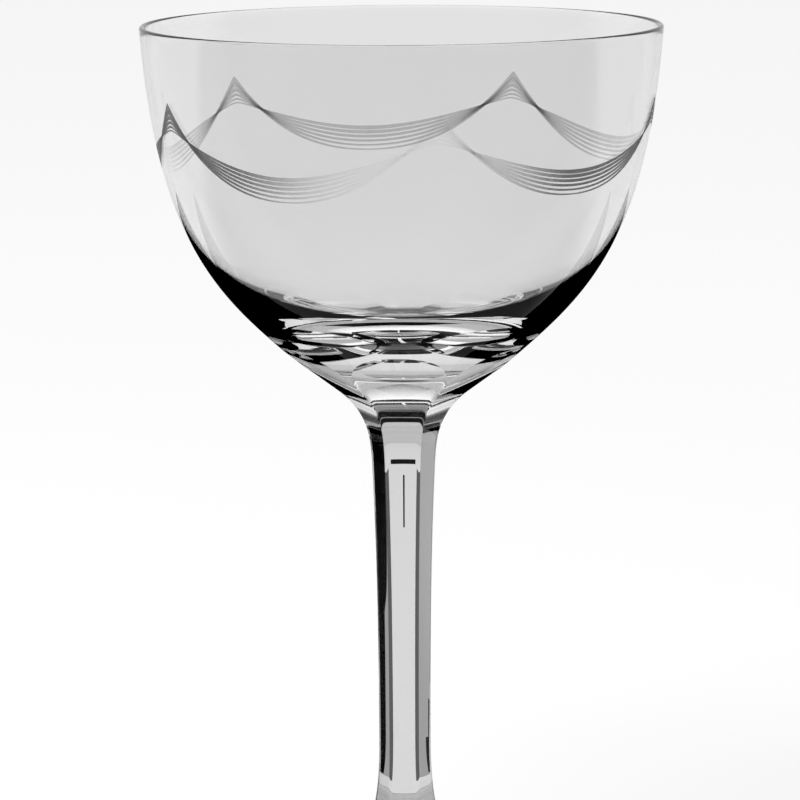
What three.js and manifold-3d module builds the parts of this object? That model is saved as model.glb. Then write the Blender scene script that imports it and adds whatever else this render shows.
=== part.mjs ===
// Small stemmed cocktail glass: an egg-shaped blown bowl, a stem and a round foot.
// Six flat panels are cut along the stem and run up the bowl's underside to arched heads.
// Millimetres, +Z up, origin at the centre of the foot's resting face. The three pieces meet at flat welds.
import * as THREE from 'three';
import { mergeVertices } from 'three/addons/utils/BufferGeometryUtils.js';
import Module from 'manifold-3d';

const wasm = await Module();
wasm.setup();

// Bowl: heights are above its weld on the stem, and drops are below the rim
const RIM_DIAMETER = 76;
const RIM_WALL = 0.8;
const BOWL_HEIGHT = 58;
const BOWL_BASE = 13.5;
const SIDE_LEAN = 2.75;
const SIDE_DROP = 37.7;
const NOSE_DIAMETER = 14;
const UNDERSIDE_DIAMETER = 21.2;
const UNDERSIDE_HEIGHT = 4;
const UNDERSIDE_RUN = 12.05;
const UNDERSIDE_RISE = 12.4;
const CAVITY_SIDE_DROP = 41;
const CAVITY_FLOOR_REACH = 20;

// Stem: sizes across are over the arrises between its panels
const STEM_LENGTH = 64.6;
const STEM_TOP_ACROSS = 12.2;
const STEM_TOP_FLARE = 8.5;
const STEM_NECK_ACROSS = 9.44;
const STEM_WAIST_ACROSS = 7.96;
const STEM_FOOT_DIAMETER = 11.8;
const STEM_FOOT_FLARE = 16;
const BLANK_ALLOWANCE = 0.2;
const PANELS = 6;

// Panels on the bowl: width over the arrises at the throat, and over the flats at the arched heads
const THROAT_ACROSS = 18.9;
const THROAT_RISE = 4;
const HEAD_ACROSS = 37.9;
const HEAD_RISE = 11.75;

// Foot
const FOOT_DIAMETER = 62;
const FOOT_RISE = 5.4;
const FOOT_EDGE = 2.2;
const FOOT_EDGE_ROUND = 1;
const FOOT_SPREAD = 18;
const FOOT_FILLET_DROP = 2.2;
const RESTING_RING = 4;
const FOOT_HOLLOW = 1.2;

// Sideways run for each millimetre of rise, where a profile crosses a weld, leaves the shaft or spreads
const TOP_WELD_SLOPE = 0.5;
const THROAT_SLOPE = 1.4;
const HEAD_SLOPE = 2.4;
const NECK_SLOPE = 0.045;
const FOOT_WELD_SLOPE = -0.2;
const FOOT_PANEL_SLOPE = -0.5;
// Rise of the foot's top for each millimetre towards the stem
const FOOT_TOP_PITCH = 0.06;

// Facets of the turned surfaces
const ROUND_SEGMENTS = 48;
const LONG_CURVE_STEPS = 14;
const SHORT_CURVE_STEPS = 6;
const ROUND_EDGE_STEPS = 3;
// The cutting solid passes the stem's foot and the rim by this much
const PANEL_OVERRUN = 1;

const GLASS = { color: 0xdfe3e3, roughness: 0.03, metalness: 0, transparent: true, opacity: 0.35 };

const point = (radius, height) => new THREE.Vector2(radius, height);

// A rising profile curve that leaves one point and reaches the next along the given slopes.
function bend(start, startSlope, end, endSlope) {
  const reach = start.distanceTo(end) / 3;
  const leave = point(startSlope, 1).setLength(reach);
  const arrive = point(endSlope, 1).setLength(reach);
  return new THREE.CubicBezierCurve(start, start.clone().add(leave), end.clone().sub(arrive), end);
}

// The points of profile curves that follow on from each other, with each shared end written once.
function along(steps, ...curves) {
  return curves.flatMap((curve) => curve.getPoints(steps).slice(1));
}

// A profile turned about the vertical axis. The profile starts and ends on the axis.
function turned(profile, segments, startAngle = 0) {
  const geometry = new THREE.LatheGeometry(profile, segments, startAngle);
  return geometry.rotateX(Math.PI / 2);
}

// A closed geometry as a solid for cutting. Triangles that collapse on the axis are left out.
function solidOf(geometry) {
  const bare = geometry.clone();
  bare.deleteAttribute('normal');
  bare.deleteAttribute('uv');
  const merged = mergeVertices(bare);
  const corners = merged.index.array;
  const kept = [];
  for (let i = 0; i < corners.length; i += 3) {
    const [a, b, c] = corners.slice(i, i + 3);
    if (a !== b && b !== c && c !== a) {
      kept.push(a, b, c);
    }
  }
  const vertProperties = merged.attributes.position.array;
  return new wasm.Manifold(new wasm.Mesh({ numProp: 3, vertProperties, triVerts: new Uint32Array(kept) }));
}

// A cut solid back as a geometry.
function geometryOf(solid) {
  const mesh = solid.getMesh();
  const geometry = new THREE.BufferGeometry();
  geometry.setAttribute('position', new THREE.BufferAttribute(mesh.vertProperties, 3));
  geometry.setIndex(new THREE.BufferAttribute(mesh.triVerts, 1));
  geometry.computeVertexNormals();
  return geometry;
}

// The bowl: nose, outer side, rounded rim and cavity in one turned profile, then cut by the panels.
function bowlGeometry() {
  const underside = point(UNDERSIDE_DIAMETER / 2, UNDERSIDE_HEIGHT);
  const lipRadius = RIM_WALL / 2;
  const rimOutside = point(RIM_DIAMETER / 2, BOWL_HEIGHT - lipRadius);
  const rimInside = point(RIM_DIAMETER / 2 - RIM_WALL, BOWL_HEIGHT - lipRadius);
  const floor = point(0, BOWL_BASE);
  const cavityLean = SIDE_LEAN * CAVITY_SIDE_DROP / SIDE_DROP;
  const side = new THREE.CubicBezierCurve(
    underside,
    point(underside.x + UNDERSIDE_RUN, underside.y + UNDERSIDE_RISE),
    point(rimOutside.x - SIDE_LEAN, rimOutside.y - SIDE_DROP),
    rimOutside,
  );
  const lipCentre = point(rimOutside.x - lipRadius, rimOutside.y);
  const lip = new THREE.EllipseCurve(lipCentre.x, lipCentre.y, lipRadius, lipRadius, 0, Math.PI);
  const cavity = new THREE.CubicBezierCurve(
    rimInside,
    point(rimInside.x - cavityLean, rimInside.y - CAVITY_SIDE_DROP),
    point(CAVITY_FLOOR_REACH, floor.y),
    floor,
  );
  const blank = turned([
    point(0, 0),
    point(NOSE_DIAMETER / 2, 0),
    underside,
    ...along(LONG_CURVE_STEPS, side),
    ...along(ROUND_EDGE_STEPS * 2, lip),
    ...along(LONG_CURVE_STEPS, cavity),
  ], ROUND_SEGMENTS);
  blank.translate(0, 0, STEM_LENGTH);
  return geometryOf(solidOf(blank).intersect(panelSolid())).translate(0, 0, -STEM_LENGTH);
}

// The stem's profile from the foot weld to the bowl weld, with the given foot radius and slope.
// The allowance is added to its other radii.
function shaftCurves(footRadius, footSlope, allowance) {
  const bottom = point(footRadius, 0);
  const waist = point(STEM_WAIST_ACROSS / 2 + allowance, STEM_FOOT_FLARE);
  const neck = point(STEM_NECK_ACROSS / 2 + allowance, STEM_LENGTH - STEM_TOP_FLARE);
  const top = point(STEM_TOP_ACROSS / 2 + allowance, STEM_LENGTH);
  return [
    bend(bottom, footSlope, waist, 0),
    bend(waist, 0, neck, NECK_SLOPE),
    bend(neck, NECK_SLOPE, top, TOP_WELD_SLOPE),
  ];
}

// The space inside all six panels, from below the stem to above the rim.
function panelSolid() {
  const panelAngle = 2 * Math.PI / PANELS;
  const acrossCorners = 1 / Math.cos(panelAngle / 2);
  const footCorner = STEM_FOOT_DIAMETER / 2 * acrossCorners;
  const weld = point(STEM_TOP_ACROSS / 2, STEM_LENGTH);
  const throat = point(THROAT_ACROSS / 2, STEM_LENGTH + THROAT_RISE);
  const head = point(HEAD_ACROSS / 2 * acrossCorners, STEM_LENGTH + HEAD_RISE);
  const clear = point(RIM_DIAMETER, head.y + (RIM_DIAMETER - head.x) / HEAD_SLOPE);
  const above = STEM_LENGTH + BOWL_HEIGHT + PANEL_OVERRUN;
  return solidOf(turned([
    point(0, -PANEL_OVERRUN),
    point(footCorner, -PANEL_OVERRUN),
    point(footCorner, 0),
    ...along(SHORT_CURVE_STEPS, ...shaftCurves(footCorner, FOOT_PANEL_SLOPE, 0)),
    ...along(
      SHORT_CURVE_STEPS,
      bend(weld, TOP_WELD_SLOPE, throat, THROAT_SLOPE),
      bend(throat, THROAT_SLOPE, head, HEAD_SLOPE),
    ),
    clear,
    point(RIM_DIAMETER, above),
    point(0, above),
  ], PANELS, panelAngle / 2));
}

// The stem: a round blank cut by the panels.
function stemGeometry() {
  const footRadius = STEM_FOOT_DIAMETER / 2;
  const blank = turned([
    point(0, 0),
    point(footRadius, 0),
    ...along(SHORT_CURVE_STEPS, ...shaftCurves(footRadius, FOOT_WELD_SLOPE, BLANK_ALLOWANCE)),
    point(0, STEM_LENGTH),
  ], ROUND_SEGMENTS);
  return geometryOf(solidOf(blank).intersect(panelSolid()));
}

// The foot: hollow underside, flat resting ring, rounded edge and a top that sweeps up to the stem.
function footGeometry() {
  const radius = FOOT_DIAMETER / 2;
  const round = Math.min(FOOT_EDGE_ROUND, FOOT_EDGE / 2);
  const ringOutside = point(radius - round, 0);
  const ringInside = point(ringOutside.x - RESTING_RING, 0);
  const topEdge = point(radius - round, FOOT_EDGE);
  const weld = point(STEM_FOOT_DIAMETER / 2, FOOT_RISE);
  const hollow = new THREE.QuadraticBezierCurve(
    point(0, FOOT_HOLLOW),
    point(ringInside.x / 2, FOOT_HOLLOW),
    ringInside,
  );
  const lowerEdge = new THREE.EllipseCurve(ringOutside.x, round, round, round, -Math.PI / 2, 0);
  const upperEdge = new THREE.EllipseCurve(topEdge.x, FOOT_EDGE - round, round, round, 0, Math.PI / 2);
  const top = new THREE.CubicBezierCurve(
    topEdge,
    point(topEdge.x - FOOT_SPREAD, topEdge.y + FOOT_SPREAD * FOOT_TOP_PITCH),
    point(weld.x - FOOT_WELD_SLOPE * FOOT_FILLET_DROP, weld.y - FOOT_FILLET_DROP),
    weld,
  );
  return turned([
    point(0, FOOT_HOLLOW),
    ...along(SHORT_CURVE_STEPS, hollow),
    ringOutside,
    ...along(ROUND_EDGE_STEPS, lowerEdge),
    point(radius, FOOT_EDGE - round),
    ...along(ROUND_EDGE_STEPS, upperEdge),
    ...along(LONG_CURVE_STEPS, top),
    point(0, FOOT_RISE),
  ], ROUND_SEGMENTS);
}

// One piece of clear glass, standing at the given height.
function glassPiece(name, geometry, height) {
  const mesh = new THREE.Mesh(geometry, new THREE.MeshStandardMaterial(GLASS));
  mesh.name = name;
  mesh.position.z = height;
  return mesh;
}

const glass = new THREE.Group();
glass.add(
  glassPiece('foot', footGeometry(), 0),
  glassPiece('stem', stemGeometry(), FOOT_RISE),
  glassPiece('bowl', bowlGeometry(), FOOT_RISE + STEM_LENGTH),
);

export default glass;
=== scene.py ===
"""A small stemmed cocktail glass: blown bowl with etched swags, panel-cut stem and spreading foot.

Everything is in metres with +Z up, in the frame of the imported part. Sizes in the classes are millimetres.
The bowl, stem and foot are closed pieces of clear glass that meet at flat welds.
"""

import logging
import math
from abc import ABC, abstractmethod
from dataclasses import dataclass
from enum import Enum

import bmesh
import bpy
from mathutils import Matrix, Vector
from mathutils.geometry import interpolate_bezier


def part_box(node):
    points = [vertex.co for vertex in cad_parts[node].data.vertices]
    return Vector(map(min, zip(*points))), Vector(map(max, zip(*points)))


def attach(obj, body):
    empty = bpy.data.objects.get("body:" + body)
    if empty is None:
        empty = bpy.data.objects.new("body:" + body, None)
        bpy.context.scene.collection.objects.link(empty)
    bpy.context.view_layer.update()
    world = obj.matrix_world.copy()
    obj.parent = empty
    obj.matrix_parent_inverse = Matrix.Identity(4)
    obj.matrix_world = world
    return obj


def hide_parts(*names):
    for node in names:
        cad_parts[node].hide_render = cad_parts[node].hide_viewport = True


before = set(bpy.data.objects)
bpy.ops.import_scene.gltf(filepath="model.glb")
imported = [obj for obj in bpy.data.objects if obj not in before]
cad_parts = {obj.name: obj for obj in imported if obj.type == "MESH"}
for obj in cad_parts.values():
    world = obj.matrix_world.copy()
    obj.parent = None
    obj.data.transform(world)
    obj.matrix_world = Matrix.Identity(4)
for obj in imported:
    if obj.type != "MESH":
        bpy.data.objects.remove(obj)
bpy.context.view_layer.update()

LOG = logging.getLogger("cocktail_glass")
BODY = "root"
MM = 0.001

# Tolerances in millimetres
SAME_POINT = 0.01
SAME_HEIGHT = 1e-3
ON_AXIS = 0.1
ON_SKIN = 0.2
# Rings across a flat weld
WELD_RINGS = 4

Spot = tuple[float, float]
Inputs = dict[str | int, object]
Strand = bmesh.types.BMVert | bmesh.types.BMEdge


def spin_round(mesh: bmesh.types.BMesh, section: list[Strand], steps: int, sectors: int) -> None:
    """Spins a section through one sector, copies the sector round the axis and closes the seams.

    Args:
        mesh: Mesh that holds the section and nothing else.
        section: Its vertices and edges.
        steps: Number of steps in one sector.
        sectors: Number of sectors round the axis.
    """
    sector = 2 * math.pi / sectors
    turn = {"cent": (0, 0, 0), "axis": (0, 0, 1)}
    bmesh.ops.spin(mesh, geom=section, angle=sector, steps=steps, **turn)
    whole = mesh.verts[:] + mesh.edges[:] + mesh.faces[:]
    others = {"angle": 2 * math.pi - sector, "steps": sectors - 1, "use_duplicate": True}
    bmesh.ops.spin(mesh, geom=whole, **others, **turn)
    bmesh.ops.remove_doubles(mesh, verts=mesh.verts, dist=SAME_POINT * MM)
    bmesh.ops.recalc_face_normals(mesh, faces=mesh.faces)


def finished(name: str, mesh: bmesh.types.BMesh, *finishes: bpy.types.Material) -> bpy.types.Object:
    """Makes an object of a mesh and puts it in the scene.

    Args:
        name: Name of the object and of its mesh data.
        mesh: The mesh, which is used up.
        finishes: Its materials.

    Returns:
        The new object.
    """
    shape = bpy.data.meshes.new(name)
    mesh.to_mesh(shape)
    mesh.free()
    for finish in finishes:
        shape.materials.append(finish)
    item = bpy.data.objects.new(name, shape)
    bpy.context.scene.collection.objects.link(item)
    return item


class Outline:
    """Half profile of a turned piece, drawn from the axis round to the axis in millimetres.

    Each drawing call returns the outline, so that runs can follow each other.
    """

    def __init__(self, radius: float, height: float) -> None:
        """Starts the profile.

        Args:
            radius: Distance of the first point from the axis.
            height: Height of the first point.
        """
        self.points: list[Vector] = [Vector((radius, height))]

    def line(self, end: Spot, steps: int = 1) -> "Outline":
        """Draws a straight run.

        Args:
            end: Radius and height where it ends.
            steps: Number of pieces it is cut into.
        """
        start = self.points[-1].copy()
        self.points += [start.lerp(Vector(end), step / steps) for step in range(1, steps + 1)]
        return self

    def curve(self, leave: Spot, arrive: Spot, end: Spot, steps: int) -> "Outline":
        """Draws a smooth run between two handles.

        Args:
            leave: Handle that the run leaves towards.
            arrive: Handle that it arrives from.
            end: Radius and height where it ends.
            steps: Number of pieces it is cut into.
        """
        knots = [self.points[-1], Vector(leave), Vector(arrive), Vector(end)]
        self.points += interpolate_bezier(*knots, steps + 1)[1:]
        return self

    def bend(self, slope: float, end: Spot, end_slope: float, steps: int) -> "Outline":
        """Draws a rising run that leaves and arrives along given slopes.

        Args:
            slope: Sideways run for each millimetre of rise at the start.
            end: Radius and height where it ends.
            end_slope: Sideways run for each millimetre of rise at the end.
            steps: Number of pieces it is cut into.
        """
        start, finish = self.points[-1], Vector(end)
        reach = (finish - start).length / 3
        leave = start + Vector((slope, 1)).normalized() * reach
        arrive = finish - Vector((end_slope, 1)).normalized() * reach
        return self.curve(tuple(leave), tuple(arrive), end, steps)

    def arc(self, centre: Spot, radius: float, start: float, end: float, steps: int) -> "Outline":
        """Draws part of a circle.

        Args:
            centre: Radius and height of its centre.
            radius: Its own radius.
            start: Angle where it starts, in degrees from straight outwards.
            end: Angle where it ends.
            steps: Number of pieces it is cut into.
        """
        for step in range(1, steps + 1):
            turn = math.radians(start + (end - start) * step / steps)
            across = centre[0] + radius * math.cos(turn)
            height = centre[1] + radius * math.sin(turn)
            self.points.append(Vector((across, height)))
        return self

    def radius_at(self, height: float) -> float:
        """Reads the profile's radius where it first passes a height on its way up.

        Args:
            height: Height in millimetres.

        Returns:
            The radius there in millimetres.
        """
        for low, high in zip(self.points, self.points[1:]):
            if low.y <= height <= high.y and high.y > low.y:
                share = (height - low.y) / (high.y - low.y)
                return low.x + (high.x - low.x) * share
        return self.points[-1].x

    def spin(self, mesh: bmesh.types.BMesh, steps: int, sectors: int) -> None:
        """Turns the profile about the axis into a closed skin.

        Args:
            mesh: Mesh that takes the skin.
            steps: Number of steps in one sector.
            sectors: Number of sectors round the axis.
        """
        verts = [mesh.verts.new((point.x * MM, 0.0, point.y * MM)) for point in self.points]
        edges = [mesh.edges.new(pair) for pair in zip(verts, verts[1:])]
        spin_round(mesh, verts + edges, steps, sectors)


class Socket(Enum):
    """Kinds of socket on a shared shader group."""

    VALUE = "NodeSocketFloat"
    COLOUR = "NodeSocketColor"


class NodeSheet:
    """A node tree with short calls to add and join its nodes."""

    def __init__(self, tree: bpy.types.NodeTree) -> None:
        """Takes an empty or ready-made node tree."""
        self.tree = tree

    @classmethod
    def of_material(cls, name: str) -> tuple[bpy.types.Material, "NodeSheet"]:
        """Makes a material with nodes and returns it with its sheet."""
        made = bpy.data.materials.new(name)
        made.use_nodes = True
        return made, cls(made.node_tree)

    def add(self, kind: str, values: Inputs | None = None, **settings: object) -> bpy.types.Node:
        """Adds a node.

        Args:
            kind: Blender's name for the node type.
            values: Plain socket values or the output sockets to join, by input name or number.
            settings: Properties of the node itself.

        Returns:
            The new node.
        """
        node = self.tree.nodes.new(kind)
        for name, setting in settings.items():
            setattr(node, name, setting)
        self.feed(node, values or {})
        return node

    def feed(self, node: bpy.types.Node, values: Inputs) -> None:
        """Sets or joins a node's inputs, given as for a new node."""
        for name, value in values.items():
            if isinstance(value, bpy.types.NodeSocket):
                self.tree.links.new(value, node.inputs[name])
            else:
                node.inputs[name].default_value = value

    def math(self, operation: str, *values: object) -> bpy.types.NodeSocket:
        """Adds a Math node and returns its result socket."""
        return self.add("ShaderNodeMath", dict(enumerate(values)), operation=operation).outputs[0]

    def vector(self, operation: str, *values: object) -> bpy.types.Node:
        """Adds a Vector Math node."""
        return self.add("ShaderNodeVectorMath", dict(enumerate(values)), operation=operation)

    def across(self, place: bpy.types.NodeSocket) -> bpy.types.NodeSocket:
        """Adds a node that leaves out a place's height and returns its result socket."""
        return self.vector("MULTIPLY", place, (1, 1, 0)).outputs[0]

    def noise(self, place: object, scale: object, detail: float) -> bpy.types.NodeSocket:
        """Adds a Noise Texture and returns its value socket."""
        values = {"Vector": place, "Scale": scale, "Detail": detail}
        return self.add("ShaderNodeTexNoise", values).outputs[0]

    def grey(self, level: object) -> bpy.types.NodeSocket:
        """Adds a neutral colour of a given brightness and returns its socket."""
        return self.add("ShaderNodeCombineColor", {"Red": level, "Green": level, "Blue": level}).outputs[0]

    def ramp(self, value: object, low: float, high: float, start: float, end: float) -> bpy.types.NodeSocket:
        """Adds a smooth Map Range and returns its result socket."""
        values = {"Value": value, "From Min": low, "From Max": high, "To Min": start, "To Max": end}
        return self.add("ShaderNodeMapRange", values, interpolation_type="SMOOTHSTEP").outputs["Result"]


class FurnaceMarks:
    """Shared effect of hand-worked glass: faint cords, a wavy skin and a thin film from handling."""

    NAME = "furnace_marks"
    # Cords are drawn out upwards, and change the clarity by this much in all
    DRAWN_OUT = (1.0, 1.0, 0.35)
    CLARITY_SWING = 0.02
    # Cycles per metre of the film's smears, and the noise values between which one begins
    SMEAR_SCALE = 140.0
    SMEAR_EDGE = (0.5, 0.75)

    @classmethod
    def group(cls) -> bpy.types.NodeTree:
        """Builds the shader group on first use.

        Returns:
            The group, with inputs Clarity, Cord Scale and Film, and outputs Tint, Skin and Haze.
        """
        ready = bpy.data.node_groups.get(cls.NAME)
        if ready:
            return ready
        tree = bpy.data.node_groups.new(cls.NAME, "ShaderNodeTree")
        for name, start in (("Clarity", 0.9), ("Cord Scale", 60.0), ("Film", 0.01)):
            control = tree.interface.new_socket(name, in_out="INPUT", socket_type=Socket.VALUE.value)
            control.default_value = start
        for name, kind in (("Tint", Socket.COLOUR), ("Skin", Socket.VALUE), ("Haze", Socket.VALUE)):
            tree.interface.new_socket(name, in_out="OUTPUT", socket_type=kind.value)
        sheet = NodeSheet(tree)
        given = sheet.add("NodeGroupInput").outputs
        place = sheet.add("ShaderNodeTexCoord").outputs["Object"]
        drawn = sheet.add("ShaderNodeMapping", {"Vector": place, "Scale": cls.DRAWN_OUT}).outputs[0]
        cords = sheet.noise(drawn, given["Cord Scale"], 2.0)
        smears = sheet.noise(place, cls.SMEAR_SCALE, 4.0)
        clouds = sheet.math("MULTIPLY_ADD", cords, cls.CLARITY_SWING, -cls.CLARITY_SWING / 2)
        tint = sheet.grey(sheet.math("ADD", given["Clarity"], clouds))
        patches = sheet.ramp(smears, *cls.SMEAR_EDGE, 0.0, 1.0)
        haze = sheet.math("MULTIPLY", patches, given["Film"])
        sheet.add("NodeGroupOutput", {"Tint": tint, "Skin": cords, "Haze": haze})
        return tree


@dataclass(frozen=True)
class ClearGlass:
    """Clear glass with the faint marks of hand work.

    Attributes:
        name: Name of the material.
        clarity: Share of light that one wall passes.
        refraction: Index of refraction.
        cord_scale: Fineness of the cords, in cycles per metre.
        skin: Depth of the wavy skin in millimetres.
        film: Roughness of the film left by handling.
    """

    name: str
    clarity: float
    refraction: float = 1.5
    cord_scale: float = 60.0
    skin: float = 0.004
    film: float = 0.012

    def material(self) -> bpy.types.Material:
        """Builds the node material."""
        made, sheet = NodeSheet.of_material(self.name)
        shader = made.node_tree.nodes["Principled BSDF"]
        chosen = {"Clarity": self.clarity, "Cord Scale": self.cord_scale, "Film": self.film}
        marks = sheet.add("ShaderNodeGroup", chosen, node_tree=FurnaceMarks.group()).outputs
        skin = sheet.add("ShaderNodeBump", {"Height": marks["Skin"], "Distance": self.skin * MM})
        sheet.feed(shader, {"Transmission Weight": 1.0, "IOR": self.refraction, "Normal": skin.outputs[0]})
        sheet.feed(shader, {"Base Color": marks["Tint"], "Roughness": marks["Haze"]})
        return made


@dataclass(frozen=True)
class WeldFinish:
    """The inside of a weld, where the glass runs on without a surface."""

    name: str = "weld"

    def material(self) -> bpy.types.Material:
        """Builds a material that nothing can be seen of, or finds the one already built."""
        ready = bpy.data.materials.get(self.name)
        if ready:
            return ready
        made, sheet = NodeSheet.of_material(self.name)
        sheet.feed(made.node_tree.nodes["Principled BSDF"], {"Alpha": 0.0})
        return made


@dataclass(frozen=True)
class EtchedGlassWithPaintedShade:
    """Glass bitten by acid: a dull, grainy skin whose near-black tone is painted shade. It stops more light
    the more it is seen from the side, which is also painted shade: lines facing the viewer turn clear, lines
    towards the sides of the near wall turn dark.

    Attributes:
        name: Name of the material.
        tone: Brightness of the dull skin, kept near black as painted shade.
        dullness: Roughness in the middle of the grain.
        grain: How far the grain swings the roughness.
        fineness: Fineness of the grain, in cycles per metre.
        swing: Noise values between which the grain swings.
        cover: Share of its stopping power that the grain leaves in its gaps.
        near: Share of light that a line on the near wall stops towards its sides, as painted shade.
        far: Share of light that a line on the far wall stops, as painted shade.
        turn: Facing values between which a near line goes from clear, where it faces the viewer, to its full
            painted shade.
        near_surfaces: Most surfaces of glass in front of a line on the near wall.
    """

    name: str
    tone: float = 0.06
    dullness: float = 0.5
    grain: float = 0.12
    fineness: float = 2600.0
    swing: Spot = (0.3, 0.7)
    cover: float = 0.85
    near: float = 0.95
    far: float = 0.42
    turn: Spot = (-0.03, 0.3)
    near_surfaces: int = 2

    def material(self) -> bpy.types.Material:
        """Builds the node material."""
        made, sheet = NodeSheet.of_material(self.name)
        shader = made.node_tree.nodes["Principled BSDF"]
        place = sheet.add("ShaderNodeTexCoord").outputs["Object"]
        pits = sheet.noise(place, self.fineness, 3.0)
        dull = sheet.ramp(pits, *self.swing, self.dullness - self.grain, self.dullness + self.grain)
        # Painted shade: near lines are clear where the wall faces the viewer and dark towards its sides, and
        # Transmission Depth tells them from far lines
        outwards = sheet.vector("NORMALIZE", sheet.across(place)).outputs[0]
        facing = sheet.add("ShaderNodeLayerWeight", {"Blend": 0.5, "Normal": outwards}).outputs["Facing"]
        depth = sheet.add("ShaderNodeLightPath").outputs["Transmission Depth"]
        behind = sheet.math("GREATER_THAN", depth, self.near_surfaces + 0.5)
        near = sheet.ramp(facing, *self.turn, 0.0, self.near)
        stopped = sheet.add("ShaderNodeMix", {0: behind, 2: near, 3: self.far}).outputs[0]
        stopped = sheet.math("MULTIPLY", stopped, sheet.ramp(pits, *self.swing, self.cover, 1.0))
        # Painted shade: the dull skin's near-black tone
        tone = sheet.grey(sheet.ramp(pits, *self.swing, self.tone * 0.7, self.tone * 1.3))
        sheet.feed(shader, {"Base Color": tone, "Roughness": dull, "Alpha": stopped})
        return made


@dataclass
class GlassPiece(ABC):
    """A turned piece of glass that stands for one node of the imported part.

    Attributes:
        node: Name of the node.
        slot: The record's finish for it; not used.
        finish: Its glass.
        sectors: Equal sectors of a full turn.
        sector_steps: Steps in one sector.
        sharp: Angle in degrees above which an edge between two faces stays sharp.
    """

    node: str
    slot: str
    finish: ClearGlass
    sectors: int = 6
    sector_steps: int = 40
    sharp: float = 13.0

    def __post_init__(self) -> None:
        """Reads the lowest and highest point of the node in millimetres."""
        low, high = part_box(self.node)
        self.bottom, self.top = low[2] / MM, high[2] / MM

    @abstractmethod
    def outline(self) -> Outline:
        """Draws the piece's closed half profile."""

    @abstractmethod
    def welds(self) -> list[float]:
        """Lists the heights of its flat welds in millimetres."""

    def cut(self, mesh: bmesh.types.BMesh) -> None:
        """Shapes the turned skin further; a plain turned piece stays as it is."""

    def build(self) -> bpy.types.Object:
        """Turns, cuts and dresses the piece, puts it in the frame and returns it."""
        skin = bmesh.new()
        self.outline().spin(skin, self.sector_steps, self.sectors)
        self.cut(skin)
        welds = self.welds()
        for face in skin.faces:
            face.smooth = True
            heights = [vert.co.z / MM for vert in face.verts]
            on_weld = any(all(abs(height - weld) < SAME_HEIGHT for height in heights) for weld in welds)
            face.material_index = int(on_weld)
        piece = finished(self.node + "_glass", skin, self.finish.material(), WeldFinish().material())
        piece.data.set_sharp_from_angle(angle=math.radians(self.sharp))
        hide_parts(self.node)
        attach(piece, BODY)
        LOG.info("%s: %d faces", piece.name, len(piece.data.polygons))
        return piece


@dataclass(frozen=True)
class Panels:
    """The six flat cuts along the stem, which run up the bowl's underside to arched heads.

    Heights are from the weld between bowl and stem, and slopes are sideways runs for each millimetre of rise.

    Attributes:
        count: Number of panels.
        weld: Radius over the arrises at the weld.
        weld_slope: Slope of the arrises there.
        neck: Radius over the arrises and height at the stem's neck.
        neck_slope: Slope there.
        throat: Radius over the arrises and height at the bowl's throat.
        throat_slope: Slope there.
        head: Radius over the flats and height where the panels run out.
        head_slope: Slope of the arrises there.
        overrun: Rise of the cuts past their heads.
        steps: Steps of an arris from the weld to the throat, and from there to the head.
        rounding: How far polishing has rounded the arrises.
        bow: How far polishing has lowered the panels at the arrises.
    """

    count: int = 6
    weld: float = 6.1
    weld_slope: float = 0.5
    neck: Spot = (4.72, -8.5)
    neck_slope: float = 0.045
    throat: Spot = (9.45, 4.0)
    throat_slope: float = 1.4
    head: Spot = (18.95, 11.75)
    head_slope: float = 2.4
    overrun: float = 8.0
    steps: tuple[int, int] = (24, 36)
    rounding: float = 0.16
    bow: float = 0.05

    @property
    def sector(self) -> float:
        """Angle that one panel takes, in radians."""
        return 2 * math.pi / self.count

    @property
    def corner(self) -> float:
        """Radius over the arrises for a radius of 1 over the flats."""
        return 1 / math.cos(self.sector / 2)

    def off_centre(self, point: Vector) -> float:
        """Measures the angle between a point and the middle of its panel, in radians."""
        return math.atan2(point.y, point.x) % self.sector - self.sector / 2

    def polished(self, over_arrises: float, off_centre: float) -> float:
        """Reads the radius of the six panels beside the middle of one of them.

        Args:
            over_arrises: Radius over the arrises before polishing.
            off_centre: Angle from the middle of the panel, in radians.

        Returns:
            The radius there, with rounded arrises and slightly bowed panels.
        """
        crispness = over_arrises / self.rounding
        planes = [math.cos(off_centre + side * self.sector) for side in (-1, 0, 1)]
        spread = sum(max(plane, 0.0) ** crispness for plane in planes) ** (1 / crispness)
        bow = self.bow * (math.tan(off_centre) / math.tan(self.sector / 2)) ** 2
        return over_arrises / self.corner / spread - bow

    def rise(self, weld_height: float) -> Outline:
        """Draws the arrises from the weld up the bowl and past the heads.

        Args:
            weld_height: Height of the weld.

        Returns:
            The open outline.
        """
        throat = (self.throat[0], weld_height + self.throat[1])
        head = (self.head[0] * self.corner, weld_height + self.head[1])
        past = (head[0] + self.overrun * self.head_slope, head[1] + self.overrun)
        lower, upper = self.steps
        drawn = Outline(self.weld, weld_height).bend(self.weld_slope, throat, self.throat_slope, lower)
        return drawn.bend(self.throat_slope, head, self.head_slope, upper).line(past)


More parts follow.
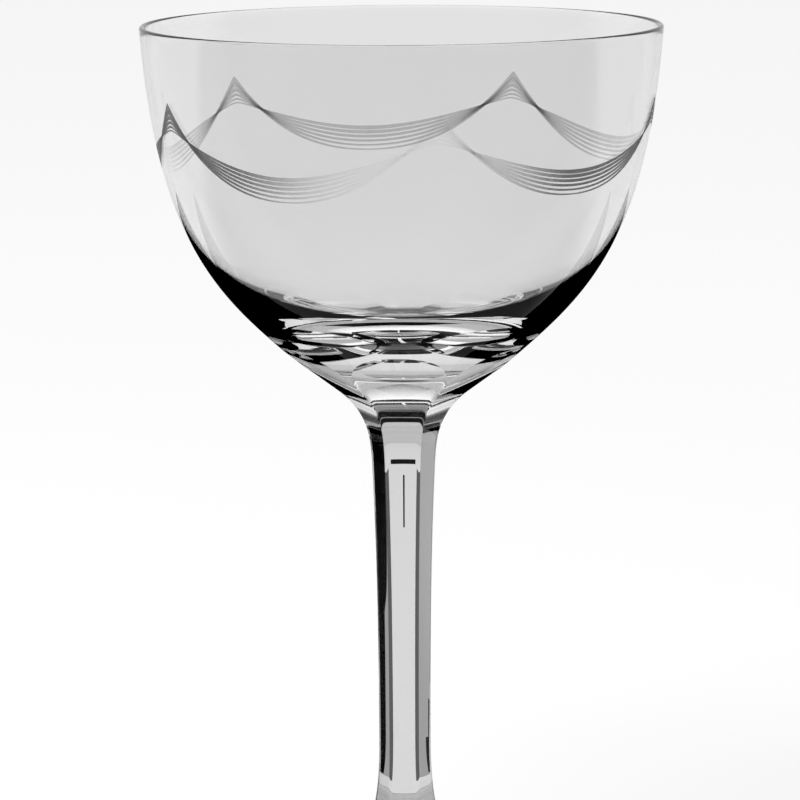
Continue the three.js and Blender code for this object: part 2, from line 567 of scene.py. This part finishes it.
@dataclass
class Bowl(GlassPiece):
    """The blown bowl: panelled underside, egg-shaped side, rounded rim and round-bottomed cavity.

    Attributes:
        panels: The cuts that run up its underside.
        rim_diameter: Width over the rim.
        rim_wall: Thickness of the rim.
        base: Height of the cavity's floor above the weld.
        nose: Radius and height of the start of the round side.
        underside: Handle of the side at its start.
        side: Handle of the side at the rim, inwards and downwards.
        cavity_drop: Length of the cavity's handle below the rim.
        cavity_reach: Length of the cavity's handle on its floor.
        cut_top: Height above the weld up to which the panels pull the skin's rows along.
        row_gap: Height without other rows on each side of the row along the heads.
        steps: Steps of the side, of the rounded rim and of the cavity.
        search_steps: Halvings in the search for a panel's head.
    """

    panels: Panels = Panels()
    rim_diameter: float = 76.0
    rim_wall: float = 0.8
    base: float = 13.5
    nose: Spot = (10.6, 4.0)
    underside: Spot = (12.05, 12.4)
    side: Spot = (2.75, 37.7)
    cavity_drop: float = 41.0
    cavity_reach: float = 20.0
    cut_top: float = 22.0
    row_gap: float = 0.1
    steps: tuple[int, int, int] = (120, 18, 96)
    search_steps: int = 40

    def __post_init__(self) -> None:
        """Draws the round outside and the arrises, and finds where they part."""
        super().__post_init__()
        self.rounded = self.outer()
        self.arris = self.panels.rise(self.bottom)
        self.parting = self.arch(self.panels.sector / 2)

    def outer(self) -> Outline:
        """Draws the round outside from its start up to the rim, as an open outline."""
        start = (self.nose[0], self.bottom + self.nose[1])
        rim = (self.rim_diameter / 2, self.top - self.rim_wall / 2)
        leave = (start[0] + self.underside[0], start[1] + self.underside[1])
        arrive = (rim[0] - self.side[0], rim[1] - self.side[1])
        return Outline(*start).curve(leave, arrive, rim, self.steps[0])

    def arch(self, off_centre: float) -> float:
        """Finds where a panel's arched head crosses a line up the bowl.

        Args:
            off_centre: Angle of the line from the middle of the panel, in radians.

        Returns:
            The height of the crossing in millimetres.
        """
        low, high = self.bottom + self.nose[1], self.bottom + self.cut_top
        for _ in range(self.search_steps):
            middle = (low + high) / 2
            panel = self.panels.polished(self.arris.radius_at(middle), off_centre)
            inside = panel < self.rounded.radius_at(middle)
            low, high = (middle, high) if inside else (low, middle)
        return low

    def outline(self) -> Outline:
        """Draws the outside along an arris, the rim and the cavity."""
        lip = self.rim_wall / 2
        edge = self.top - lip
        inside = self.rim_diameter / 2 - self.rim_wall
        lean = self.side[0] * self.cavity_drop / self.side[1]
        floor = self.bottom + self.base
        wall = (inside - lean, edge - self.cavity_drop)
        under, over = self.parting - self.row_gap, self.parting + self.row_gap
        drawn = Outline(0, self.bottom).line((self.panels.weld, self.bottom), WELD_RINGS)
        drawn.points += [point for point in self.arris.points[1:] if point.y < under]
        drawn.line((self.rounded.radius_at(self.parting), self.parting))
        drawn.points += [point for point in self.rounded.points if point.y > over]
        drawn.arc((inside + lip, edge), lip, 0, 180, self.steps[1])
        return drawn.curve(wall, (self.cavity_reach, floor), (0, floor), self.steps[2])

    def cut(self, mesh: bmesh.types.BMesh) -> None:
        """Grinds the panels into the underside, with a row of the skin along each arched head.

        Args:
            mesh: The turned skin.
        """
        limit = self.bottom + self.cut_top
        arches: dict[float, float] = {}
        for vert in mesh.verts:
            radius, height = vert.co.xy.length / MM, vert.co.z / MM
            if radius < ON_AXIS or height > limit:
                continue
            if radius < min(self.arris.radius_at(height), self.round_at(height)) - ON_SKIN:
                continue
            off_centre = self.panels.off_centre(vert.co)
            column = round(abs(off_centre), 4)
            if column not in arches:
                arches[column] = self.arch(off_centre)
            arch = arches[column]
            if height <= self.parting + SAME_HEIGHT:
                rise, whole = arch - self.bottom, self.parting - self.bottom
                height = self.bottom + (height - self.bottom) * rise / whole
                wanted = self.panels.polished(self.arris.radius_at(height), off_centre)
            else:
                height = arch + (height - self.parting) * (limit - arch) / (limit - self.parting)
                wanted = self.rounded.radius_at(height)
            vert.co.xy *= wanted / radius
            vert.co.z = height * MM

    def round_at(self, height: float) -> float:
        """Reads the round outside's radius, which has no limit below its start."""
        return self.rounded.radius_at(height) if height > self.bottom + self.nose[1] else math.inf

    def welds(self) -> list[float]:
        """Lists the weld on the stem."""
        return [self.bottom]


@dataclass
class Stem(GlassPiece):
    """The solid stem: a round blank cut by the panels, which run out above the foot.

    Attributes:
        panels: The cuts along it.
        waist_across: Width over the arrises at the narrowest place.
        foot_diameter: Width of the weld on the foot.
        foot_flare: Length of the flare above the foot.
        allowance: How far the round blank stands outside the arrises.
        polish: Rounding left where the panels run out.
        foot_slopes: Slopes of the blank and of the panels at the lower weld.
        steps: Steps of the shaft up to its waist, its neck and the upper weld.
    """

    panels: Panels = Panels()
    waist_across: float = 7.96
    foot_diameter: float = 11.8
    foot_flare: float = 16.0
    allowance: float = 0.2
    polish: float = 0.03
    foot_slopes: Spot = (-0.2, -0.5)
    steps: tuple[int, int, int] = (36, 48, 40)

    def shaft(self, foot_radius: float, foot_slope: float, extra: float) -> Outline:
        """Draws the shaft between its welds.

        Args:
            foot_radius: Radius at the lower weld.
            foot_slope: Slope at the lower weld.
            extra: What is added to the radii at the waist, the neck and the upper weld.

        Returns:
            The open outline.
        """
        cut = self.panels
        waist = (self.waist_across / 2 + extra, self.bottom + self.foot_flare)
        neck = (cut.neck[0] + extra, self.top + cut.neck[1])
        lower, middle, upper = self.steps
        drawn = Outline(foot_radius, self.bottom).bend(foot_slope, waist, 0, lower)
        drawn.bend(0, neck, cut.neck_slope, middle)
        return drawn.bend(cut.neck_slope, (cut.weld + extra, self.top), cut.weld_slope, upper)

    def outline(self) -> Outline:
        """Draws the round blank."""
        shaft = self.shaft(self.foot_diameter / 2, self.foot_slopes[0], self.allowance)
        drawn = Outline(0, self.bottom).line(tuple(shaft.points[0]), WELD_RINGS)
        drawn.points += shaft.points[1:]
        return drawn.line((0, self.top), WELD_RINGS)

    def cut(self, mesh: bmesh.types.BMesh) -> None:
        """Grinds the panels into the round blank.

        Args:
            mesh: The turned blank.
        """
        arris = self.shaft(self.foot_diameter / 2 * self.panels.corner, self.foot_slopes[1], 0.0)
        for vert in mesh.verts:
            round_radius = vert.co.xy.length / MM
            height = vert.co.z / MM
            if round_radius < ON_AXIS or height - self.bottom < SAME_HEIGHT:
                continue
            flat_radius = self.panels.polished(arris.radius_at(height), self.panels.off_centre(vert.co))
            gap = flat_radius - round_radius
            ground = (flat_radius + round_radius - math.sqrt(gap * gap + self.polish ** 2)) / 2
            vert.co.xy *= ground / round_radius

    def welds(self) -> list[float]:
        """Lists the welds on the foot and under the bowl."""
        return [self.bottom, self.top]


@dataclass
class Foot(GlassPiece):
    """The spreading foot: hollow underside, flat resting ring, rounded edge and a top that sweeps up.

    Attributes:
        diameter: Width over the edge.
        edge: Thickness at the edge.
        edge_round: Rounding of the edge.
        spread: Length of the top's handle at the edge.
        pitch: Rise of the top for each millimetre inwards at the edge.
        fillet: Length of the top's handle at the weld.
        weld_diameter: Width of the weld under the stem.
        weld_slope: Slope at the weld.
        ring: Width of the resting ring.
        hollow: Depth of the hollow underneath.
        steps: Steps of the hollow, of the resting ring, of each half of the edge and of the top.
    """

    diameter: float = 62.0
    edge: float = 2.2
    edge_round: float = 1.0
    spread: float = 18.0
    pitch: float = 0.06
    fillet: float = 2.2
    weld_diameter: float = 11.8
    weld_slope: float = -0.2
    ring: float = 4.0
    hollow: float = 1.2
    steps: tuple[int, int, int, int] = (20, 2, 8, 40)

    def outline(self) -> Outline:
        """Draws the hollow, ring, edge and top."""
        hollow_steps, ring_steps, edge_steps, top_steps = self.steps
        rim = self.diameter / 2 - self.edge_round
        inner = rim - self.ring
        weld = (self.weld_diameter / 2, self.top)
        level, falling = (inner / 3, self.hollow), (inner * 2 / 3, self.hollow * 2 / 3)
        drawn = Outline(0, self.hollow).curve(level, falling, (inner, 0), hollow_steps)
        drawn.line((rim, 0), ring_steps)
        drawn.arc((rim, self.edge_round), self.edge_round, -90, 0, edge_steps)
        drawn.line((self.diameter / 2, self.edge - self.edge_round))
        drawn.arc((rim, self.edge - self.edge_round), self.edge_round, 0, 90, edge_steps)
        leave = (rim - self.spread, self.edge + self.spread * self.pitch)
        arrive = (weld[0] - self.weld_slope * self.fillet, weld[1] - self.fillet)
        return drawn.curve(leave, arrive, weld, top_steps).line((0, self.top), WELD_RINGS)

    def welds(self) -> list[float]:
        """Lists the weld under the stem."""
        return [self.top]


@dataclass
class SwagEtching:
    """Six fine etched lines that hang round the bowl in five swags and cross beside each peak.

    Attributes:
        bowl: The bowl that they are etched on.
        finish: Their dull glass.
        swags: Number of swags round the bowl.
        lines: Number of lines.
        first_peak: Angle of one peak in degrees, to the right of the face with the front panel.
        peak_drop: Depth of the highest line's peak below the rim.
        peak_rise: Rise of that line from the crossing to its peak.
        dip_drop: Fall of that line from the crossing to its dip.
        spacing: Distance between neighbouring lines at the peaks and dips.
        crossing: Place of the crossing, as a share of the way from a peak to a dip.
        rounding: Rounding of the highest and the lowest peak, as a share of the way from a peak to a dip.
        widths: Width of a line at the foot and at the head of the band that the lines make.
        sag: What hand work adds to the dip of each swag.
        relief: How far a line stands proud of the wall.
        swag_steps: Steps of a line in one swag.
    """

    bowl: Bowl
    finish: EtchedGlassWithPaintedShade
    swags: int = 5
    lines: int = 6
    first_peak: float = 10.6
    peak_drop: float = 10.1
    peak_rise: float = 4.8
    dip_drop: float = 7.0
    spacing: float = 0.65
    crossing: float = 0.2
    rounding: Spot = (0.005, 0.05)
    widths: Spot = (0.19, 0.62)
    sag: tuple[float, ...] = (0.1, -0.4, -0.2, 0.0, 0.5)
    relief: float = 0.012
    swag_steps: int = 192

    def hang(self, line: int, turn: float) -> tuple[float, float, float]:
        """Follows one line round the bowl.

        Args:
            line: Number of the line, from the highest peak.
            turn: Angle round the bowl in radians, to the right of the front.

        Returns:
            Height of the line, its steepness along the wall and its width.
        """
        half = math.pi / self.swags
        onward = (turn - math.radians(self.first_peak)) % (2 * math.pi)
        swag = int(onward / (2 * half)) % self.swags
        rank = line / (self.lines - 1)
        soft = self.rounding[0] + (self.rounding[1] - self.rounding[0]) * rank
        share = min(math.hypot(1 - abs(onward % (2 * half) / half - 1), soft), 1.0)
        dip = self.dip_drop - self.spacing * line
        depth = dip + self.peak_rise - self.spacing * line
        fullness = (dip / depth / (1 - self.crossing) ** 2 - 1) / self.crossing
        level = self.bowl.top - self.peak_drop - self.peak_rise - dip
        height = level + depth * (1 - share) ** 2 * (1 + fullness * share)
        height -= self.sag[swag] * share ** 2 * (3 - 2 * share)
        fall = depth * ((1 - share) ** 2 * fullness - 2 * (1 - share) * (1 + fullness * share))
        head = rank * share + (1 - rank) * (1 - share)
        width = self.widths[0] + (self.widths[1] - self.widths[0]) * head
        return height, abs(fall) / (half * self.bowl.rim_diameter / 2), width

    def build(self) -> bpy.types.Object:
        """Lays the lines on the bowl, dresses them and returns them as one object."""
        skin = bmesh.new()
        section = []
        for line in range(self.lines):
            verts = [skin.verts.new((1 + line, 0.0, side)) for side in (0.5, -0.5)]
            section += verts + [skin.edges.new(verts)]
        spin_round(skin, section, self.swag_steps, self.swags)
        for vert in skin.verts:
            self.settle(vert)
        bmesh.ops.recalc_face_normals(skin, faces=skin.faces)
        piece = finished("bowl_etching", skin, self.finish.material())
        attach(piece, BODY)
        LOG.info("%s: %d faces", piece.name, len(piece.data.polygons))
        return piece

    def settle(self, vert: bmesh.types.BMVert) -> None:
        """Moves one point of the spun lines onto its place on the bowl's wall.

        Args:
            vert: The point, on a ring whose radius is the number of its line, from one metre.
        """
        ring = vert.co.xy.length
        around = vert.co.xy / ring
        line = round(ring) - 1
        height, steepness, width = self.hang(line, math.atan2(around.x, -around.y))
        height += vert.co.z * width * math.hypot(1, steepness)
        radius = self.bowl.rounded.radius_at(height) + self.relief
        vert.co = Vector((around.x * radius, around.y * radius, height)) * MM


class Shade(Enum):
    """Brightness of a card's painted shade, where 1 is white; DARK and GREY cards glow though they are no
    lamps.
    """

    BLACK = 0.0
    DARK = 0.14
    GREY = 0.5


class Sight(Enum):
    """Fewest and most mirrorings of a path in the glass that sees a card."""

    REFRACTED = (0, 0)
    BOUNCED = (1, 12)
    TRAPPED = (2, 12)


@dataclass(frozen=True)
class PaintedShadeCard:
    """A flat card that paints dark or grey shade and reflections into the glass: the camera never sees it, and
    it shows only to chosen paths of light through the glass or off it.

    Attributes:
        name: Name of the card.
        bearings: Directions of its two sides in degrees, to the right of straight away from the camera.
        near: Distance from the glass's axis and height of its near or lower edge, in metres.
        far: The same for its far or upper edge.
        sight: Which paths see it.
        surfaces: Most surfaces that such a path passes; 2 is in and out of solid glass.
        shade: Its brightness.
        starts: Least and most by which its distance from the axis may exceed a path's last run, in metres, for
            paths that aren't mirrored. Out of the stem this is the stem's radius or less.
        far_bearings: Directions of its two sides at the far edge, where they differ.
        apron: Distance from the axis at which an apron in front of its lower edge ends, in metres.
    """

    name: str
    bearings: Spot
    near: Spot
    far: Spot
    sight: Sight = Sight.REFRACTED
    surfaces: int = 2
    shade: Shade = Shade.BLACK
    starts: Spot = (-0.0015, 0.0055)
    far_bearings: Spot | None = None
    apron: float | None = None

    def corner(self, bearing: float, edge: Spot) -> Vector:
        """Places the corner of an edge that lies in a direction, given in degrees."""
        turn = math.radians(bearing)
        return Vector((edge[0] * math.sin(turn), edge[0] * math.cos(turn), edge[1]))

    def material(self) -> bpy.types.Material:
        """Builds a plain glow that paints the card's shade into its own paths and is clear for all others."""
        made, sheet = NodeSheet.of_material(self.name)
        made.node_tree.nodes.clear()
        path = sheet.add("ShaderNodeLightPath").outputs
        fewest, most = self.sight.value
        deep = sheet.math("GREATER_THAN", path["Transmission Depth"], self.surfaces + 0.5)
        under = sheet.math("LESS_THAN", path["Glossy Depth"], fewest - 0.5)
        over = sheet.math("GREATER_THAN", path["Glossy Depth"], most + 0.5)
        hidden = sheet.math("MAXIMUM", deep, sheet.math("MAXIMUM", under, over))
        if self.sight is Sight.REFRACTED:
            place = sheet.add("ShaderNodeTexCoord").outputs["Object"]
            away = sheet.vector("LENGTH", sheet.across(place)).outputs["Value"]
            start = sheet.math("SUBTRACT", away, path["Ray Length"])
            hidden = sheet.math("MAXIMUM", hidden, sheet.math("LESS_THAN", start, self.starts[0]))
            hidden = sheet.math("MAXIMUM", hidden, sheet.math("GREATER_THAN", start, self.starts[1]))
        glow = sheet.add("ShaderNodeEmission", {"Strength": self.shade.value})
        clear = sheet.add("ShaderNodeBsdfTransparent")
        mixed = sheet.add("ShaderNodeMixShader", {0: hidden, 1: glow.outputs[0], 2: clear.outputs[0]})
        sheet.add("ShaderNodeOutputMaterial", {"Surface": mixed.outputs[0]})
        return made

    def build(self, straight: float) -> bpy.types.Object:
        """Puts the card in its place.

        Args:
            straight: Direction straight away from the camera, in degrees.

        Returns:
            The finished object.
        """
        (left, right), (far_left, far_right) = self.bearings, self.far_bearings or self.bearings
        places = [(left, self.near), (right, self.near), (far_right, self.far), (far_left, self.far)]
        flat = bmesh.new()
        corners = [flat.verts.new(self.corner(straight + bearing, edge)) for bearing, edge in places]
        bmesh.ops.contextual_create(flat, geom=corners)
        if self.apron:
            front = (self.apron, self.near[1])
            ends = [flat.verts.new(self.corner(straight + bearing, front)) for bearing in (right, left)]
            bmesh.ops.contextual_create(flat, geom=corners[:2] + ends)
        card = finished(self.name, flat, self.material())
        # Hidden from the camera, from diffuse light and from shadows, so that the card only paints shade into
        # the glass
        card.visible_camera = False
        card.visible_diffuse = False
        card.visible_shadow = False
        return card


@dataclass
class Studio:
    """Pale floor, white surroundings and soft lamp of a plain table-top studio, with dark and grey cards that
    paint shade and reflections into the glass.

    Attributes:
        straight: Direction straight away from the camera, in degrees.
        floor_size: Width of the floor in metres.
        floor_tone: Brightness of the floor's own colour.
        glow: Share of the floor that shows as plain white.
        front: Brightness of the floor and the room in front of the glass as its surface mirrors them, a
            painted dark reflection; the camera sees both white.
        front_edge: Distances behind the axis between which the floor turns white, in metres.
        horizon: Brightness of the surroundings behind the glass.
        ceiling: Brightness of the surroundings above the glass.
        rise: Upward parts of a direction between which the horizon turns into the ceiling.
        zenith: The same for the dark part overhead, which only the glass sees.
        zenith_tone: Its brightness, as a share of the ceiling's.
        fill: What the room gains in brightness for the floor and for light trapped in the glass.
        front_turn: Backward parts of a direction between which the room's dark front ends.
        lamp_spot: Where the lamp hangs, in metres.
        lamp_aim: Where it points, in metres.
        cards: The cards round the glass, which paint its dark edges, lines and wedges.
    """

    straight: float
    floor_size: float = 8.0
    floor_tone: float = 0.85
    glow: float = 0.75
    front: float = 0.05
    front_edge: Spot = (0.03, 0.12)
    horizon: float = 0.9
    ceiling: float = 0.4
    rise: Spot = (0.2, 0.8)
    zenith: Spot = (0.77, 0.82)
    zenith_tone: float = 0.02
    fill: float = 0.8
    front_turn: Spot = (-0.1, 0.35)
    lamp_spot: tuple[float, float, float] = (-0.5, -0.4, 0.9)
    lamp_aim: tuple[float, float, float] = (0.0, 0.0, 0.06)
    cards: tuple[PaintedShadeCard, ...] = (
        # Painted shade seen through the stem's sides
        PaintedShadeCard("right_card", (33, 72), (0.09, 0.0405), (0.09, 0.12), starts=(-0.004, 0.0055)),
        PaintedShadeCard("right_turn", (38.8, 72), (0.09, 0.024), (0.09, 0.0405), far_bearings=(33, 72)),
        PaintedShadeCard("right_edge", (39.4, 72), (0.09, 0.0008), (0.09, 0.024), far_bearings=(38.8, 72), apron=0.045),
        PaintedShadeCard("right_sheet", (33, 43), (0.0915, 0.0004), (0.0915, 0.0405), shade=Shade.GREY, apron=0.045),
        PaintedShadeCard("right_arris", (5, 33), (0.09, 0.0004), (0.09, 0.0505), shade=Shade.DARK, apron=0.045),
        PaintedShadeCard("left_arris", (-33, -5), (0.09, 0.0004), (0.09, 0.0505), shade=Shade.DARK, apron=0.045),
        PaintedShadeCard("left_card", (-62, -33), (0.09, 0.0004), (0.09, 0.086), shade=Shade.GREY, apron=0.045),
        PaintedShadeCard("left_top", (-62, -33), (0.09, 0.086), (0.09, 0.12), starts=(-0.02, 0.0055)),
        PaintedShadeCard("left_edge", (-72, -39.4), (0.0885, 0.0008), (0.0885, 0.008), apron=0.045),
        # Painted shade seen through its middle
        PaintedShadeCard("back_top", (-32, 32), (0.5, 0.25), (0.5, 0.9), starts=(-1.0, 0.007)),
        PaintedShadeCard("back_rod", (-0.1, 0.1), (0.33, 0.001), (0.43, 0.001)),
        PaintedShadeCard("back_strip", (-2.6, 2.6), (0.47, 0.001), (0.53, 0.001)),
        # Painted dark reflections on the outside
        PaintedShadeCard("left_low", (-80, -45), (0.06, 0.0), (0.06, 0.062), Sight.BOUNCED, 0),
        PaintedShadeCard("bowl_shade", (-55, 55), (0.075, 0.053), (0.075, 0.09), Sight.BOUNCED, 0),
        PaintedShadeCard("under_shade", (-58, 58), (0.04, 0.002), (0.3, 0.002), Sight.BOUNCED, 0),
        # Painted shade for paths mirrored inside the glass
        PaintedShadeCard("foot_left", (-20, -0.6), (0.04, 0.0015), (0.1, 0.0015), Sight.BOUNCED),
        PaintedShadeCard("foot_right", (0.6, 20), (0.04, 0.0015), (0.1, 0.0015), Sight.BOUNCED),
        PaintedShadeCard("throat_left", (-26, -0.4), (0.06, 0.001), (0.06, 0.0865), Sight.TRAPPED),
        PaintedShadeCard("throat_right", (0.4, 26), (0.06, 0.001), (0.06, 0.0865), Sight.TRAPPED),
        PaintedShadeCard("left_flag", (-75, -46), (0.6, 0.05), (0.6, 0.36), Sight.TRAPPED),
        PaintedShadeCard("right_flag", (46, 75), (0.6, 0.04), (0.6, 0.36), Sight.TRAPPED),
        PaintedShadeCard("top_shade", (-30, 30), (0.05, 0.6), (0.35, 0.6), Sight.TRAPPED),
    )

    def floor(self) -> bpy.types.Object:
        """Lays the floor and returns it."""
        made, sheet = NodeSheet.of_material("studio_floor")
        made.node_tree.nodes.clear()
        tone = (self.floor_tone, self.floor_tone, self.floor_tone, 1)
        matt = sheet.add("ShaderNodeBsdfDiffuse", {"Color": tone})
        path = sheet.add("ShaderNodeLightPath").outputs
        place = sheet.add("ShaderNodeTexCoord").outputs["Object"]
        behind = sheet.add("ShaderNodeSeparateXYZ", {0: place}).outputs["Y"]
        # Painted dark reflection: the floor in front is dark only for rays that the glass mirrors
        level = self.mirrored(sheet, sheet.ramp(behind, *self.front_edge, self.front, 1.0), path)
        white = sheet.add("ShaderNodeEmission", {"Strength": level})
        seen = sheet.math("MAXIMUM", path["Is Camera Ray"], path["Is Glossy Ray"])
        seen = sheet.math("MAXIMUM", seen, path["Is Transmission Ray"])
        share = sheet.math("MULTIPLY", seen, self.glow)
        mixed = sheet.add("ShaderNodeMixShader", {0: share, 1: matt.outputs[0], 2: white.outputs[0]})
        sheet.add("ShaderNodeOutputMaterial", {"Surface": mixed.outputs[0]})
        ground = bmesh.new()
        bmesh.ops.create_grid(ground, x_segments=1, y_segments=1, size=self.floor_size / 2)
        floor = finished("studio_floor", ground, made)
        return floor

    def mirrored(
        self, sheet: NodeSheet, level: bpy.types.NodeSocket, path: bpy.types.NodeOutputs
    ) -> bpy.types.NodeSocket:
        """Keeps a brightness for rays that the glass has mirrored, and white for all others.

        Args:
            sheet: Node tree to add to.
            level: The brightness.
            path: Outputs of the tree's Light Path node.

        Returns:
            The resulting brightness.
        """
        mirrors = sheet.math("GREATER_THAN", path["Glossy Depth"], 0.5)
        straight = sheet.math("SUBTRACT", 1.0, mirrors)
        return sheet.math("MAXIMUM", level, straight)

    def surroundings(self) -> None:
        """Sets the world: white for the camera, and a dimmer room for the glass."""
        world = bpy.data.worlds.new("studio")
        bpy.context.scene.world = world
        world.use_nodes = True
        world.node_tree.nodes.clear()
        sheet = NodeSheet(world.node_tree)
        path = sheet.add("ShaderNodeLightPath").outputs
        away = sheet.add("ShaderNodeTexCoord").outputs["Generated"]
        parts = sheet.add("ShaderNodeSeparateXYZ", {0: away}).outputs
        room = sheet.ramp(parts["Z"], *self.rise, self.horizon, self.ceiling)
        often = sheet.math("GREATER_THAN", path["Glossy Depth"], 1.5)
        lit = sheet.math("MAXIMUM", path["Is Diffuse Ray"], often)
        top = sheet.math("MAXIMUM", sheet.ramp(parts["Z"], *self.zenith, 1.0, self.zenith_tone), lit)
        room = sheet.math("MULTIPLY", room, sheet.math("MULTIPLY_ADD", lit, self.fill, top))
        # Painted dark reflection of the room in front, only for rays that the glass mirrors
        side = self.mirrored(sheet, sheet.ramp(parts["Y"], *self.front_turn, self.front, 1.0), path)
        side = sheet.math("MAXIMUM", side, often)
        level = sheet.math("MAXIMUM", sheet.math("MULTIPLY", room, side), path["Is Camera Ray"])
        glow = sheet.add("ShaderNodeBackground", {"Strength": level})
        sheet.add("ShaderNodeOutputWorld", {"Surface": glow.outputs[0]})

    def lamp(self) -> bpy.types.Object:
        """Hangs one large soft lamp above and in front, and returns it."""
        made = bpy.data.lights.new("soft_lamp", "AREA")
        made.shape = "RECTANGLE"
        made.size = 0.7
        made.size_y = 0.5
        made.energy = 9.0
        lamp = bpy.data.objects.new("soft_lamp", made)
        bpy.context.scene.collection.objects.link(lamp)
        spot = Vector(self.lamp_spot)
        aim = (Vector(self.lamp_aim) - spot).to_track_quat("-Z", "Y")
        lamp.matrix_world = Matrix.Translation(spot) @ aim.to_matrix().to_4x4()
        lamp.visible_glossy = False
        lamp.visible_transmission = False
        return lamp

    def build(self) -> None:
        """Sets up floor, surroundings, lamp and the cards that paint shade into the glass."""
        self.floor()
        self.surroundings()
        self.lamp()
        for card in self.cards:
            card.build(self.straight)
        LOG.info("studio: %d cards", len(self.cards))


@dataclass(frozen=True)
class PhotoCamera:
    """The camera of the photograph.

    Attributes:
        bearing: How far it stands round to the right of the front panel, in degrees.
        sideways: How far it is then moved to the right, in millimetres.
        distance: Its distance in front of the axis, in millimetres.
        above_rim: Its height above the rim, in millimetres.
        pitch: How far it looks down, in degrees.
        roll: How far it is turned about its own axis, in degrees.
        lens: Focal length in millimetres on a sensor 36 mm wide.
    """

    bearing: float = 2.5
    sideways: float = -0.48
    distance: float = 650.0
    above_rim: float = 50.24
    pitch: float = 9.215
    roll: float = -0.3
    lens: float = 201.73

    def build(self, rim: float) -> bpy.types.Object:
        """Sets up the camera.

        Args:
            rim: Height of the rim in millimetres.

        Returns:
            The camera object.
        """
        optics = bpy.data.cameras.new("photo_camera")
        optics.sensor_width = 36.0
        optics.lens = self.lens
        optics.clip_start = 0.01
        camera = bpy.data.objects.new("photo_camera", optics)
        bpy.context.scene.collection.objects.link(camera)
        spot = Matrix.Translation(Vector((self.sideways, -self.distance, rim + self.above_rim)) * MM)
        tilt = Matrix.Rotation(math.radians(90 - self.pitch), 4, "X")
        round_glass = Matrix.Rotation(math.radians(self.bearing), 4, "Z")
        camera.matrix_world = round_glass @ spot @ tilt @ Matrix.Rotation(math.radians(self.roll), 4, "Z")
        bpy.context.scene.camera = camera
        return camera


def main() -> None:
    """Builds the glass piece by piece, then the studio and the camera."""
    logging.basicConfig(level=logging.INFO, format="%(name)s: %(message)s")
    bpy.context.scene.view_settings.view_transform = "Standard"
    bowl = Bowl("bowl", "bowl_glass", ClearGlass("bowl_glass", clarity=0.89))
    stem = Stem("stem", "stem_glass", ClearGlass("stem_glass", clarity=0.72))
    foot = Foot("foot", "foot_glass", ClearGlass("foot_glass", clarity=0.86))
    for piece in (bowl, stem, foot):
        piece.build()
    SwagEtching(bowl, EtchedGlassWithPaintedShade("etched_lines")).build()
    camera = PhotoCamera()
    camera.build(bowl.top)
    Studio(straight=-camera.bearing).build()


if __name__ == "__main__":
    main()
